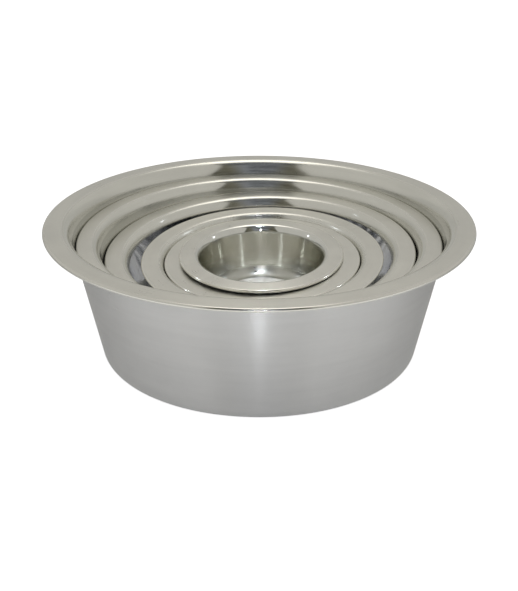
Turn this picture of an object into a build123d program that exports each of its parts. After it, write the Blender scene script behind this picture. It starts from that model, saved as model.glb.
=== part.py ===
from build123d import *
import os
from dataclasses import dataclass
from math import cos, radians, sin, tan

# A nest of six round steel bowls with wide rolled rims, in millimetres.
# +Z is up. The origin is the centre of the largest bowl's underside.

# What the six bowls share
WALL_TAPER = 12.2  # degrees that every wall leans outward from vertical
RIM_FALL = 4.0  # degrees that every rim slopes down from mouth to edge
CURL_TURN = 250.0  # degrees that the sheet rolls round to make the edge


@dataclass
class Bowl:
    """One bowl's size, and how it sits in the next larger bowl."""

    name: str
    rim_d: float  # across the rolled edges
    mouth_d: float  # across the crest where the rim turns down into the bowl
    height: float  # underside to crest
    mouth_r: float  # bend from rim to wall, on the top of the sheet
    corner_r: float  # bend from wall to floor, on the inside
    curl_r: float  # outside radius of the rolled edge
    sheet: float
    drop: float = 0.0  # crest below the larger bowl's crest, along that bowl's axis
    shift: tuple = (0.0, 0.0)  # crest centre off the larger bowl's axis
    lean: tuple = (0.0, 0.0)  # degrees that the front and the left side sit lower


# Bowls 2, 3 and 5 are wedged by their edges in the wall around them, bowl 4 stands on the floor
# of bowl 3, and bowl 6 hangs by its rim on the rim of bowl 5. The loose bowls lean a little.
BOWLS = (
    Bowl("bowl_1_largest", 340.0, 312.5, 111.0, 8.0, 9.0, 1.6, 0.8),
    Bowl("bowl_2", 290.0, 266.5, 90.0, 6.0, 9.0, 1.5, 0.8, 15.0, (0.0, 1.1), (1.9, 0.0)),
    Bowl("bowl_3", 248.5, 223.0, 74.0, 6.0, 9.0, 1.5, 0.8, 11.5, (0.6, 0.6), (1.2, 1.5)),
    Bowl("bowl_4", 195.0, 169.0, 66.5, 5.0, 9.0, 1.4, 0.7, 5.5, (1.5, 0.5), (0.8, 0.0)),
    Bowl("bowl_5", 157.5, 131.0, 50.0, 4.5, 9.0, 1.4, 0.7, 2.0),
    Bowl("bowl_6_smallest", 132.0, 108.5, 41.0, 4.5, 9.0, 1.4, 0.7, -4.7, (-0.6, 0.0), (0.0, -0.8)),
)


def sheet_section(b):
    """The cut through one side of a bowl, x outward and y up from the crest's centre."""
    taper, fall = radians(WALL_TAPER), radians(RIM_FALL)
    mouth_bend = radians(90.0 - WALL_TAPER + RIM_FALL)
    to_corner = b.mouth_r * tan(mouth_bend / 2)
    corner = (b.mouth_d / 2 - to_corner * cos(fall), to_corner * sin(fall))
    floor = b.sheet - b.height
    wall_foot = corner[0] - (corner[1] - floor) * tan(taper)
    curl_x = b.rim_d / 2 - b.curl_r
    rim_end_x = curl_x + b.curl_r * sin(fall)
    rim_end = (rim_end_x, corner[1] - (rim_end_x - corner[0]) * tan(fall))
    top = FilletPolyline(
        (0, floor), (wall_foot, floor), corner, rim_end, radius=(b.corner_r, b.mouth_r)
    )
    curl_centre = (curl_x, rim_end[1] - b.curl_r * cos(fall))
    curl = CenterArc(curl_centre, b.curl_r, 90.0 - RIM_FALL, -CURL_TURN)
    return make_face(offset(Wire([*top.edges(), curl]), amount=b.sheet, side=Side.RIGHT))


def make_bowl(b):
    """One pressed bowl, its crest in the plane z = 0 and its axis on Z."""
    return revolve(Plane.XZ * sheet_section(b), Axis.Z)


os.makedirs("parts", exist_ok=True)
crest = Location((0, 0, BOWLS[0].height))
for bowl in BOWLS:
    front_down, left_down = bowl.lean
    crest = crest * Location((*bowl.shift, -bowl.drop), (front_down, -left_down, 0))
    export_step(crest * make_bowl(bowl), f"parts/{bowl.name}.step")
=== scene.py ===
"""The looks of a nest of six round steel bowls with wide rolled rims.

Every bowl is a lathed sheet of steel built at full detail where its CAD node lies, so it has the
same section as the CAD bowl: floor, corner, leaning wall, mouth bend, sloping rim and rolled edge.
"""

from dataclasses import dataclass
from math import cos, pi, radians, sin, tan

import bpy
import numpy as np
from mathutils import Matrix, Vector


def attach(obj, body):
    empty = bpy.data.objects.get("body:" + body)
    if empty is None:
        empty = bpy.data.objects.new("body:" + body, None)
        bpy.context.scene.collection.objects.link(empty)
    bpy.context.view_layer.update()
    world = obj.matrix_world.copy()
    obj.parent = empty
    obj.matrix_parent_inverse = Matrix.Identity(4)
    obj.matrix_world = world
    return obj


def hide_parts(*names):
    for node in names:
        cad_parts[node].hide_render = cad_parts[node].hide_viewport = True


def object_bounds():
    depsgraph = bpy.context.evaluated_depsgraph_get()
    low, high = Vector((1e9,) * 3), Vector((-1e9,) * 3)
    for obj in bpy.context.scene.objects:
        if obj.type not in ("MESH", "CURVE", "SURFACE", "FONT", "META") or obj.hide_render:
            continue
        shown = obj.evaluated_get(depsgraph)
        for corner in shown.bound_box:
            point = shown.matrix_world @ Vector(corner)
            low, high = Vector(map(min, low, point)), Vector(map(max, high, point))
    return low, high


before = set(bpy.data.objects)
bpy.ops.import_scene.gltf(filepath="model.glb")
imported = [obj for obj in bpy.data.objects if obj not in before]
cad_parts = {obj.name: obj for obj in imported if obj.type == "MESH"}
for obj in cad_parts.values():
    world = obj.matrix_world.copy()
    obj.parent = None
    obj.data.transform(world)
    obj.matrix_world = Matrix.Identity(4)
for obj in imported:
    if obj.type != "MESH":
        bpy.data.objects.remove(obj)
cad_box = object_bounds()
MM = 0.001
MICRON = 0.000001


# ---------------------------------------------------------------- the bowls' shapes

# What the six bowls share
WALL_TAPER = radians(12.2)  # how far every wall leans outward from vertical
RIM_FALL = radians(4.0)  # how far every rim slopes down from mouth to edge
CURL_TURN = radians(250.0)  # how far the sheet rolls round to make the edge
FLARE_TURN = radians(20.0)  # the last of the mouth bend, which eases into the wall
FLARE_EASE = 2.5  # how many times the mouth's radius that easing bend has
SEGMENTS = 288  # steps round each bowl

# The steps along each stretch of the section
FLOOR_STEPS = 14
CORNER_STEPS = 14
WALL_STEPS = 14
FLARE_STEPS = 10
MOUTH_STEPS = 16
RIM_STEPS = 8
CURL_STEPS = 26

# How the finishes meet: the end of the mouth bend is finished with the rim, and only the first
# half of the curl is finished as the rolled edge
MOUTH_STEPS_WITH_RIM = 4
EDGE_STEPS = CURL_STEPS // 2


@dataclass
class Bowl:
    """One bowl's sizes in millimetres that its CAD node's box doesn't give."""

    body: str
    mouth_d: float
    mouth_r: float
    corner_r: float
    curl_r: float
    sheet: float


BOWLS = (
    Bowl("bowl_1_largest", 312.5, 8.0, 9.0, 1.6, 0.8),
    Bowl("bowl_2", 266.5, 6.0, 9.0, 1.5, 0.8),
    Bowl("bowl_3", 223.0, 6.0, 9.0, 1.5, 0.8),
    Bowl("bowl_4", 169.0, 5.0, 9.0, 1.4, 0.7),
    Bowl("bowl_5", 131.0, 4.5, 9.0, 1.4, 0.7),
    Bowl("bowl_6_smallest", 108.5, 4.5, 9.0, 1.4, 0.7),
)


def place_of(node):
    """Where a CAD bowl stands: its crest's centre, its axis, its rim's diameter and its height."""
    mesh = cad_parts[node].data
    count = len(mesh.polygons)
    middles, areas = np.zeros(count * 3), np.zeros(count)
    mesh.polygons.foreach_get("center", middles)
    mesh.polygons.foreach_get("area", areas)
    middles = middles.reshape(-1, 3)
    centre = np.average(middles, axis=0, weights=areas)
    spread = np.cov((middles - centre).T, aweights=areas)
    axis = np.linalg.eigh(spread)[1][:, 0]
    axis = axis if axis[2] > 0 else -axis
    points = np.array([v.co for v in mesh.vertices], float) - centre
    along = points @ axis
    across = np.linalg.norm(points - np.outer(along, axis), axis=1)
    crest = Vector(centre + axis * along.max())
    return crest, Vector(axis), 2 * across.max() / MM, (along.max() - along.min()) / MM


def arc(centre, radius, start, turn, steps):
    """The points of an arc after its first one, each with the direction out of its centre."""
    angles = [start + turn * i / steps for i in range(1, steps + 1)]
    return [
        (centre[0] + radius * cos(a), centre[1] + radius * sin(a), a) for a in angles
    ]


def line(start, end, facing, steps):
    """The points of a straight stretch after its first one, with the direction that it faces."""
    shares = [i / steps for i in range(1, steps + 1)]
    return [
        (start[0] + (end[0] - start[0]) * t, start[1] + (end[1] - start[1]) * t, facing)
        for t in shares
    ]


def top_of_sheet(b, rim_d, height):
    """The sheet's upper side from the floor's centre to the end of the rolled edge.

    Each point is its distance from the axis, its height over the crest's centre, and the
    direction that the sheet faces there.
    """
    floor = b.sheet - height
    wall_facing = pi - WALL_TAPER
    rim_facing = pi / 2 - RIM_FALL
    mouth_half = (wall_facing - rim_facing) / 2
    to_corner = b.mouth_r * tan(mouth_half)
    corner = (b.mouth_d / 2 - to_corner * cos(RIM_FALL), to_corner * sin(RIM_FALL))
    foot_x = corner[0] - (corner[1] - floor) * tan(WALL_TAPER)
    corner_turn = wall_facing - pi / 2
    flat_end = foot_x - b.corner_r * tan(corner_turn / 2)
    corner_centre = (flat_end, floor + b.corner_r)
    wall_start = (
        corner_centre[0] + b.corner_r * cos(WALL_TAPER),
        corner_centre[1] - b.corner_r * sin(WALL_TAPER),
    )
    # The mouth bend's centre lies far enough out for the easing bend to end in the wall
    inset = (FLARE_EASE - 1) * b.mouth_r * (1 - cos(FLARE_TURN))
    outward = inset / cos(WALL_TAPER - RIM_FALL)
    mouth_centre = (
        corner[0] - to_corner * sin(WALL_TAPER) - b.mouth_r * cos(wall_facing) + outward * cos(RIM_FALL),
        corner[1] - to_corner * cos(WALL_TAPER) - b.mouth_r * sin(wall_facing) - outward * sin(RIM_FALL),
    )
    handover = wall_facing - FLARE_TURN
    flare_r = FLARE_EASE * b.mouth_r
    flare_centre = (
        mouth_centre[0] - (flare_r - b.mouth_r) * cos(handover),
        mouth_centre[1] - (flare_r - b.mouth_r) * sin(handover),
    )
    wall_end = (
        flare_centre[0] + flare_r * cos(wall_facing),
        flare_centre[1] + flare_r * sin(wall_facing),
    )
    curl_x = rim_d / 2 - b.curl_r
    rim_end_x = curl_x + b.curl_r * sin(RIM_FALL)
    rim_end = (rim_end_x, corner[1] - (rim_end_x - corner[0]) * tan(RIM_FALL))
    curl_centre = (curl_x, rim_end[1] - b.curl_r * cos(RIM_FALL))
    points = [(0.0, floor, pi / 2)]
    points += line((0, floor), (flat_end, floor), pi / 2, FLOOR_STEPS)
    points += [
        (x, y, a + pi)
        for x, y, a in arc(corner_centre, b.corner_r, -pi / 2, corner_turn, CORNER_STEPS)
    ]
    points += line(wall_start, wall_end, wall_facing, WALL_STEPS)
    points += arc(flare_centre, flare_r, wall_facing, -FLARE_TURN, FLARE_STEPS)
    points += arc(mouth_centre, b.mouth_r, handover, rim_facing - handover, MOUTH_STEPS)
    rim_start = points[-1][:2]
    points += line(rim_start, rim_end, rim_facing, RIM_STEPS)
    points += arc(curl_centre, b.curl_r, rim_facing, -CURL_TURN, CURL_STEPS)
    return points


def section(b, rim_d, height):
    """The closed section's points from the axis over the sheet and back under it."""
    top = top_of_sheet(b, rim_d, height)
    under = [(x - b.sheet * cos(a), y - b.sheet * sin(a)) for x, y, a in reversed(top)]
    return [(x, y) for x, y, _ in top] + under


def lathe(name, outline, materials, material_of):
    """A mesh that turns an outline, which starts and ends on the axis, round Z.

    Its UV map holds the angle in turns and the length along the outline in metres.
    """
    outline = np.array(outline) * MM
    steps = np.linalg.norm(np.diff(outline, axis=0), axis=1)
    lengths = np.concatenate([[0.0], np.cumsum(steps)])
    angles = np.arange(SEGMENTS) * 2 * pi / SEGMENTS
    rings = outline[1:-1]
    circle = np.stack([np.cos(angles), np.sin(angles)], axis=1)
    vertices = [(0.0, 0.0, outline[0][1]), (0.0, 0.0, outline[-1][1])]
    for radius, z in rings:
        vertices += [(radius * c, radius * s, z) for c, s in circle]

    def at(ring, turn):
        return 2 + ring * SEGMENTS + turn % SEGMENTS

    faces, uvs, slots = [], [], []
    last = len(rings) - 1
    for turn in range(SEGMENTS):
        near, far = turn / SEGMENTS, (turn + 1) / SEGMENTS
        faces.append((0, at(0, turn), at(0, turn + 1)))
        uvs += [(near, lengths[0]), (near, lengths[1]), (far, lengths[1])]
        slots.append(material_of(0))
        faces.append((1, at(last, turn + 1), at(last, turn)))
        uvs += [(far, lengths[-1]), (far, lengths[-2]), (near, lengths[-2])]
        slots.append(material_of(last + 1))
        for ring in range(last):
            faces.append(
                (at(ring, turn), at(ring + 1, turn), at(ring + 1, turn + 1), at(ring, turn + 1))
            )
            here, there = lengths[ring + 1], lengths[ring + 2]
            uvs += [(near, here), (near, there), (far, there), (far, here)]
            slots.append(material_of(ring + 1))
    mesh = bpy.data.meshes.new(name)
    mesh.from_pydata(vertices, [], faces)
    layer = mesh.uv_layers.new(name="turns_and_metres")
    layer.data.foreach_set("uv", np.array(uvs, np.float32).ravel())
    for material in materials:
        mesh.materials.append(material)
    mesh.polygons.foreach_set("material_index", slots)
    mesh.polygons.foreach_set("use_smooth", [True] * len(faces))
    mesh.update()
    return mesh


# ---------------------------------------------------------------- node helpers


def put(tree, socket, value):
    """Gives a socket a number, a colour without its alpha, or another node's output."""
    if isinstance(value, tuple):
        socket.default_value = (*value, 1)
    elif isinstance(value, (int, float)):
        socket.default_value = value
    else:
        tree.links.new(value, socket)


def maths(tree, operation, first, second=0.0):
    """The output of a math node."""
    made = tree.nodes.new("ShaderNodeMath")
    made.operation = operation
    put(tree, made.inputs[0], first)
    put(tree, made.inputs[1], second)
    return made.outputs[0]


def step(tree, value, low, high):
    """0 below low, 1 above high and smooth between them."""
    made = tree.nodes.new("ShaderNodeMapRange")
    made.interpolation_type = "SMOOTHSTEP"
    put(tree, made.inputs["Value"], value)
    made.inputs["From Min"].default_value = low
    made.inputs["From Max"].default_value = high
    return made.outputs[0]


def mix(tree, factor, first, second):
    """The first colour where factor is 0, and the second where it is 1."""
    made = tree.nodes.new("ShaderNodeMix")
    made.data_type = "RGBA"
    put(tree, made.inputs["Factor"], factor)
    put(tree, made.inputs[6], first)
    put(tree, made.inputs[7], second)
    return made.outputs[2]


def noise(tree, vector, detail, rough=0.5):
    """The grey value of a noise texture, about one speck to each unit of its vector."""
    made = tree.nodes.new("ShaderNodeTexNoise")
    made.inputs["Scale"].default_value = 1.0
    made.inputs["Detail"].default_value = detail
    made.inputs["Roughness"].default_value = rough
    put(tree, made.inputs["Vector"], vector)
    return made.outputs["Factor" if "Factor" in made.outputs else "Fac"]


def bump(tree, height, distance):
    """A bump node whose height of 1 stands distance metres out."""
    made = tree.nodes.new("ShaderNodeBump")
    made.inputs["Strength"].default_value = 1.0
    made.inputs["Distance"].default_value = distance
    put(tree, made.inputs["Height"], height)
    return made


def split_xyz(tree, vector):
    """A vector's three parts."""
    made = tree.nodes.new("ShaderNodeSeparateXYZ")
    put(tree, made.inputs[0], vector)
    return made.outputs


def join_xyz(tree, *parts):
    """A vector of up to three parts."""
    made = tree.nodes.new("ShaderNodeCombineXYZ")
    for socket, part in zip(made.inputs, parts):
        put(tree, socket, part)
    return made.outputs[0]


# ---------------------------------------------------------------- steel

# The lathe's marks: how long each kind is as a share of a turn, and how far apart in metres
LINES = (0.12, 0.9 * MM)
STREAKS = (0.08, 6 * MM)
CLOUDS = (0.05, 50 * MM)
WAVES = (0.11, 30 * MM)

# What the streaks and clouds do to the colour: their shares, and its darkest and palest
STREAK_SHARE = 0.35
CLOUD_SHARE = 0.65
DARKEST = 0.84
PALEST = 1.14


def steel(name, colour, roughness, roughness_change, brushing, relief, waviness, metallic=1.0):
    """Stainless steel spun on a lathe: fine lines round the bowl, and soft patches of wear.

    roughness_change is how far the patches alter the roughness, and brushing is the anisotropy
    that the lines give. relief is the height of the lines in microns, and waviness that of the
    sheet's slow unevenness.
    """
    material = bpy.data.materials.new(name)
    material.use_nodes = True
    tree = material.node_tree
    shader = tree.nodes["Principled BSDF"]
    shader.inputs["Metallic"].default_value = metallic
    shader.inputs["Anisotropic"].default_value = brushing
    shader.inputs["Anisotropic Rotation"].default_value = 0.25

    uv = tree.nodes.new("ShaderNodeUVMap")
    uv.uv_map = "turns_and_metres"
    turns, metres, _ = split_xyz(tree, uv.outputs[0])
    angle = maths(tree, "MULTIPLY", turns, 2 * pi)

    def marks(kind, detail, rough=0.5):
        """Noise that closes up round the bowl."""
        length, pitch = kind
        reach = 1 / (2 * pi * length)
        across = maths(tree, "MULTIPLY", maths(tree, "COSINE", angle), reach)
        ahead = maths(tree, "MULTIPLY", maths(tree, "SINE", angle), reach)
        along = maths(tree, "MULTIPLY", metres, 1 / pitch)
        return noise(tree, join_xyz(tree, across, ahead, along), detail, rough)

    lines = marks(LINES, 3.0)
    streaks = marks(STREAKS, 3.0)
    clouds = marks(CLOUDS, 4.0, 0.6)

    # Colour: pale warm steel, a little darker in the streaks and patches
    in_streaks = maths(tree, "MULTIPLY", streaks, STREAK_SHARE)
    in_clouds = maths(tree, "MULTIPLY", clouds, CLOUD_SHARE)
    darkest = tuple(c * DARKEST for c in colour)
    palest = tuple(min(1.0, c * PALEST) for c in colour)
    tint = mix(tree, maths(tree, "ADD", in_streaks, in_clouds), darkest, palest)
    put(tree, shader.inputs["Base Color"], tint)

    # Roughness: the base value, changed by the patches and the lines
    patches = maths(tree, "SUBTRACT", clouds, 0.5)
    patches = maths(tree, "MULTIPLY", patches, roughness_change * 2)
    fine = maths(tree, "SUBTRACT", lines, 0.5)
    fine = maths(tree, "MULTIPLY", fine, roughness_change)
    change = maths(tree, "ADD", patches, fine)
    put(tree, shader.inputs["Roughness"], maths(tree, "ADD", change, roughness))

    # Bump: the lathe's lines over the slow unevenness of pressed sheet
    waves = bump(tree, marks(WAVES, 1.0), waviness * MICRON)
    ridges = bump(tree, lines, relief * MICRON)
    put(tree, ridges.inputs["Normal"], waves.outputs[0])
    put(tree, shader.inputs["Normal"], ridges.outputs[0])
    return material


BOTTOM = steel("matt_bottom", (0.88, 0.87, 0.82), 0.62, 0.05, 0.2, 3, 30, metallic=0.4)
# The corner's steel is darker than the rest: painted shade where the wall meets the floor, on a satin
# finish
CORNER_PAINTED_SHADE = steel("satin_corner_painted_shade", (0.52, 0.52, 0.475), 0.30, 0.06, 0.6, 3, 30)
# The inner walls of the two largest bowls are darker than the rest of the steel: painted shade in their
# deep hollows, on a satin finish
SATIN_WALL_PAINTED_SHADE = steel("satin_wall_painted_shade", (0.56, 0.56, 0.515), 0.20, 0.10, 0.8, 3, 40)
BRIGHT_WALL = steel("polished_wall", (0.66, 0.655, 0.60), 0.15, 0.05, 0.8, 2, 40)
SATIN_MOUTH = steel("satin_mouth", (0.71, 0.705, 0.655), 0.17, 0.12, 0.85, 3, 30)
SOFT_MOUTH = steel("soft_mouth", (0.71, 0.705, 0.655), 0.27, 0.06, 0.6, 3, 30)
BRIGHT_MOUTH = steel("polished_mouth", (0.71, 0.71, 0.67), 0.10, 0.04, 0.7, 2, 30)
RIM = steel("satin_rim", (0.72, 0.71, 0.66), 0.30, 0.06, 0.55, 4, 30)
EDGE = steel("polished_edge", (0.76, 0.75, 0.70), 0.14, 0.04, 0.3, 2, 30)
# Paler and bluer than the other steel: a painted bright, bluish reflection on both faces of the gap
# between the third and fourth bowls, on a mirror polish
MIRROR_PAINTED_LIGHT = steel("mirror_polish_painted_light", (0.93, 0.94, 0.965), 0.07, 0.05, 0.3, 1, 220)
OUTSIDE = steel("brushed_outside", (0.72, 0.72, 0.715), 0.33, 0.12, 1.0, 6, 90)

# Each bowl's finish: bottom, corner, inner wall, mouth bend, rim, rolled edge and outside
FINISHES = (
    (BOTTOM, CORNER_PAINTED_SHADE, SATIN_WALL_PAINTED_SHADE, SATIN_MOUTH, RIM, EDGE, OUTSIDE),
    (BOTTOM, CORNER_PAINTED_SHADE, SATIN_WALL_PAINTED_SHADE, SATIN_MOUTH, RIM, EDGE, OUTSIDE),
    # The third bowl's inner wall and the fourth bowl's outside face each other across a gap, and both
    # carry the painted reflection of the mirror steel
    (BOTTOM, CORNER_PAINTED_SHADE, MIRROR_PAINTED_LIGHT, SATIN_MOUTH, RIM, EDGE, OUTSIDE),
    (BOTTOM, CORNER_PAINTED_SHADE, BRIGHT_WALL, SOFT_MOUTH, RIM, EDGE, MIRROR_PAINTED_LIGHT),
    (BOTTOM, CORNER_PAINTED_SHADE, BRIGHT_WALL, SOFT_MOUTH, RIM, EDGE, OUTSIDE),
    (BOTTOM, CORNER_PAINTED_SHADE, BRIGHT_WALL, BRIGHT_MOUTH, RIM, EDGE, OUTSIDE),
)


# ---------------------------------------------------------------- the nest


def make_bowl(b, finish):
    """One bowl of steel in the place of its CAD node."""
    crest, axis, rim_d, height = place_of(b.body)
    outline = section(b, rim_d, height)
    corner_end = FLOOR_STEPS + CORNER_STEPS
    wall_end = corner_end + WALL_STEPS
    mouth_end = wall_end + FLARE_STEPS + MOUTH_STEPS - MOUTH_STEPS_WITH_RIM
    rim_end = mouth_end + MOUTH_STEPS_WITH_RIM + RIM_STEPS
    edge_end = rim_end + EDGE_STEPS
    ends = (FLOOR_STEPS, corner_end, wall_end, mouth_end, rim_end, edge_end)

    def material_of(stretch):
        return sum(stretch >= end for end in ends)

    name = b.body + "_steel"
    mesh = lathe(name, outline, finish, material_of)
    bowl = bpy.data.objects.new(name, mesh)
    bpy.context.scene.collection.objects.link(bowl)
    turn = Vector((0, 0, 1)).rotation_difference(axis).to_matrix().to_4x4()
    bowl.matrix_world = Matrix.Translation(crest) @ turn
    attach(bowl, b.body)
    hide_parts(b.body)
    return bowl


for bowl, finish in zip(BOWLS, FINISHES):
    make_bowl(bowl, finish)


# ---------------------------------------------------------------- camera

# The camera looks straight along +Y and down at the nest, from a metre away
TARGET = Vector((0, 0, 50 * MM))
ELEVATION = radians(23.67)
DISTANCE = 1.0
LENS = 75.09  # focal length in millimetres
SHIFT = (-0.0004, -0.0101)

camera = bpy.data.objects.new("camera", bpy.data.cameras.new("camera"))
bpy.context.scene.collection.objects.link(camera)
camera.location = TARGET + DISTANCE * Vector((0, -cos(ELEVATION), sin(ELEVATION)))
camera.rotation_euler = (pi / 2 - ELEVATION, 0, 0)
camera.data.lens = LENS
camera.data.shift_x, camera.data.shift_y = SHIFT
bpy.context.scene.camera = camera


# ---------------------------------------------------------------- studio

WHITE = (1.0, 1.0, 1.0)
COOL_WHITE = (0.92, 0.95, 1.0)
COOL = (0.84, 0.90, 1.0)
BACKDROP_LOW = (0.50, 0.495, 0.47)
BACKDROP_HIGH = (0.59, 0.58, 0.55)
LIT_TOP = (1.9, 1.85, 1.72)
BELOW = (0.55, 0.55, 0.54)

# The dim room seen through the opening, darkest and palest, in its middle and to its sides
ROOM_MIDDLE = ((0.06, 0.065, 0.07), (0.27, 0.285, 0.32))
ROOM_SIDES = ((0.06, 0.058, 0.045), (0.21, 0.20, 0.155))

# The floor, as the steel sees it: paler in front of the nest, with a painted pool of light that glows
# there, and darker behind it as painted shade
FLOOR_FRONT_PAINTED_LIGHT = (0.90, 0.91, 0.93)
FLOOR_BACK_PAINTED_SHADE = (0.68, 0.685, 0.70)
PAINTED_POOL_GLOW = 0.40
CAMERA_GLOW = 0.8  # what whitens the floor for the camera
FLOOR_RADIUS = 6.0
FLOOR_SIDES = 96
FLOOR_GAP = 0.2 * MM  # below the lowest bowl

scene = bpy.context.scene
scene.view_settings.view_transform = "Standard"
# Light reaches the narrow rooms between the bowls only after many reflections
scene.cycles.max_bounces = 24
scene.cycles.glossy_bounces = 24


def studio_world():
    """White to the camera. To the steel it is a pale tent that opens, darker, on the camera's side
    and is brightest overhead."""
    world = bpy.data.worlds.new("studio")
    world.use_nodes = True
    tree = world.node_tree
    tree.nodes.clear()
    direction = tree.nodes.new("ShaderNodeTexCoord").outputs["Generated"]
    x, y, z = split_xyz(tree, direction)
    aside = maths(tree, "ABSOLUTE", x)
    # Degrees up from the horizon at the back, over the top, to the horizon in front at 180
    over = maths(tree, "MULTIPLY", maths(tree, "ARCTAN2", z, y), 180 / pi)

    # At the back the backdrop, and overhead the lit top, which fades to the sides
    rising = step(tree, over, 50, 57)
    ending = maths(tree, "SUBTRACT", 1.0, step(tree, over, 84, 90))
    central = maths(tree, "SUBTRACT", 1.0, step(tree, aside, 0.10, 0.30))
    lit = maths(tree, "MULTIPLY", maths(tree, "MULTIPLY", rising, ending), central)
    backdrop = mix(tree, step(tree, over, 18, 34), BACKDROP_LOW, BACKDROP_HIGH)
    tent = mix(tree, lit, backdrop, LIT_TOP)

    # In front the opening, which narrows towards the top
    half_width = maths(tree, "SUBTRACT", 0.565, maths(tree, "MULTIPLY", z, 0.315))
    inside = step(tree, maths(tree, "SUBTRACT", half_width, aside), -0.015, 0.015)
    opening = maths(tree, "MULTIPLY", inside, step(tree, over, 88, 92))

    # The dim room in it has level streaks, warmer to the sides
    level = join_xyz(tree, maths(tree, "MULTIPLY", x, 3.0), maths(tree, "MULTIPLY", over, 0.10))
    streak = step(tree, noise(tree, level, 3.0), 0.35, 0.65)
    middle = mix(tree, streak, *ROOM_MIDDLE)
    sides = mix(tree, streak, *ROOM_SIDES)
    room = mix(tree, step(tree, aside, 0.12, 0.32), middle, sides)
    tent = mix(tree, opening, tent, room)
    tent = mix(tree, step(tree, z, -0.01, 0.01), BELOW, tent)

    to_camera = tree.nodes.new("ShaderNodeLightPath").outputs["Is Camera Ray"]
    shade = tree.nodes.new("ShaderNodeBackground")
    put(tree, shade.inputs["Color"], mix(tree, to_camera, tent, WHITE))
    output = tree.nodes.new("ShaderNodeOutputWorld")
    put(tree, output.inputs["Surface"], shade.outputs[0])
    return world


def floor_material():
    """A plain pale floor. The camera sees it white, and the steel sees it a little darker, with painted
    light in front of the nest and painted shade behind it.
    """
    material = bpy.data.materials.new("pale_floor")
    material.use_nodes = True
    tree = material.node_tree
    tree.nodes.clear()
    place = tree.nodes.new("ShaderNodeTexCoord").outputs["Object"]
    # Painted light and shade: a paler colour in front of the nest and a darker one behind it
    back = step(tree, split_xyz(tree, place)["Y"], -0.35, 0.15)
    matt = tree.nodes.new("ShaderNodeBsdfDiffuse")
    put(tree, matt.inputs["Color"], mix(tree, back, FLOOR_FRONT_PAINTED_LIGHT, FLOOR_BACK_PAINTED_SHADE))

    to_camera = tree.nodes.new("ShaderNodeLightPath").outputs["Is Camera Ray"]
    # A painted pool of light: a glow in front of the nest, which only the steel sees
    painted_pool = maths(tree, "MULTIPLY", maths(tree, "SUBTRACT", 1.0, back), PAINTED_POOL_GLOW)
    rest = maths(tree, "MULTIPLY", maths(tree, "SUBTRACT", 1.0, to_camera), painted_pool)
    whitening = maths(tree, "MULTIPLY", to_camera, CAMERA_GLOW)
    glow = tree.nodes.new("ShaderNodeEmission")
    put(tree, glow.inputs["Color"], WHITE)
    put(tree, glow.inputs["Strength"], maths(tree, "ADD", rest, whitening))

    both = tree.nodes.new("ShaderNodeAddShader")
    put(tree, both.inputs[0], matt.outputs[0])
    put(tree, both.inputs[1], glow.outputs[0])
    output = tree.nodes.new("ShaderNodeOutputMaterial")
    put(tree, output.inputs["Surface"], both.outputs[0])
    return material


def make_floor():
    """A wide disc just under the lowest bowl."""
    low, _ = cad_box
    angles = [2 * pi * i / FLOOR_SIDES for i in range(FLOOR_SIDES)]
    ring = [(FLOOR_RADIUS * cos(a), FLOOR_RADIUS * sin(a), 0) for a in angles]
    mesh = bpy.data.meshes.new("floor")
    mesh.from_pydata(ring, [], [tuple(range(FLOOR_SIDES))])
    mesh.materials.append(floor_material())
    floor = bpy.data.objects.new("floor", mesh)
    floor.location.z = low.z - FLOOR_GAP
    bpy.context.scene.collection.objects.link(floor)


def area_light(name, place, size, power, colour, spread=180):
    """A square light that faces the nest.

    place and size are in metres. A small spread, in degrees, keeps the light to the smallest
    bowls, and power in watts is that of an open lamp as bright to look at.
    """
    lamp = bpy.data.lights.new(name, "AREA")
    lamp.shape = "SQUARE"
    lamp.size = size
    lamp.energy = power
    if spread < 180:
        half = radians(spread / 2)
        lamp.spread = 2 * half
        lamp.energy = power * (tan(half) - half) / tan(half)
    lamp.color = colour
    light = bpy.data.objects.new(name, lamp)
    light.location = place
    light.rotation_mode = "QUATERNION"
    light.rotation_quaternion = (Vector(place) - TARGET).to_track_quat("Z", "Y")
    bpy.context.scene.collection.objects.link(light)


scene.world = studio_world()
make_floor()
# Small lamps for glints. All but the low one are narrow and reach little but the smallest bowls
area_light("lamp_overhead", (0.02, -0.55, 1.75), 0.06, 26.0, COOL, 5)
area_light("lamp_at_camera", (0.0, -2.0, 0.8), 0.04, 9.0, COOL_WHITE, 3)
area_light("lamp_low", (0.0, -1.6, 0.08), 0.03, 0.10, WHITE)
for side in (-1, 1):
    area_light(f"lamp_side_{side}", (side * 1.66, 0.3, 1.1), 0.06, 3.0, COOL, 6)
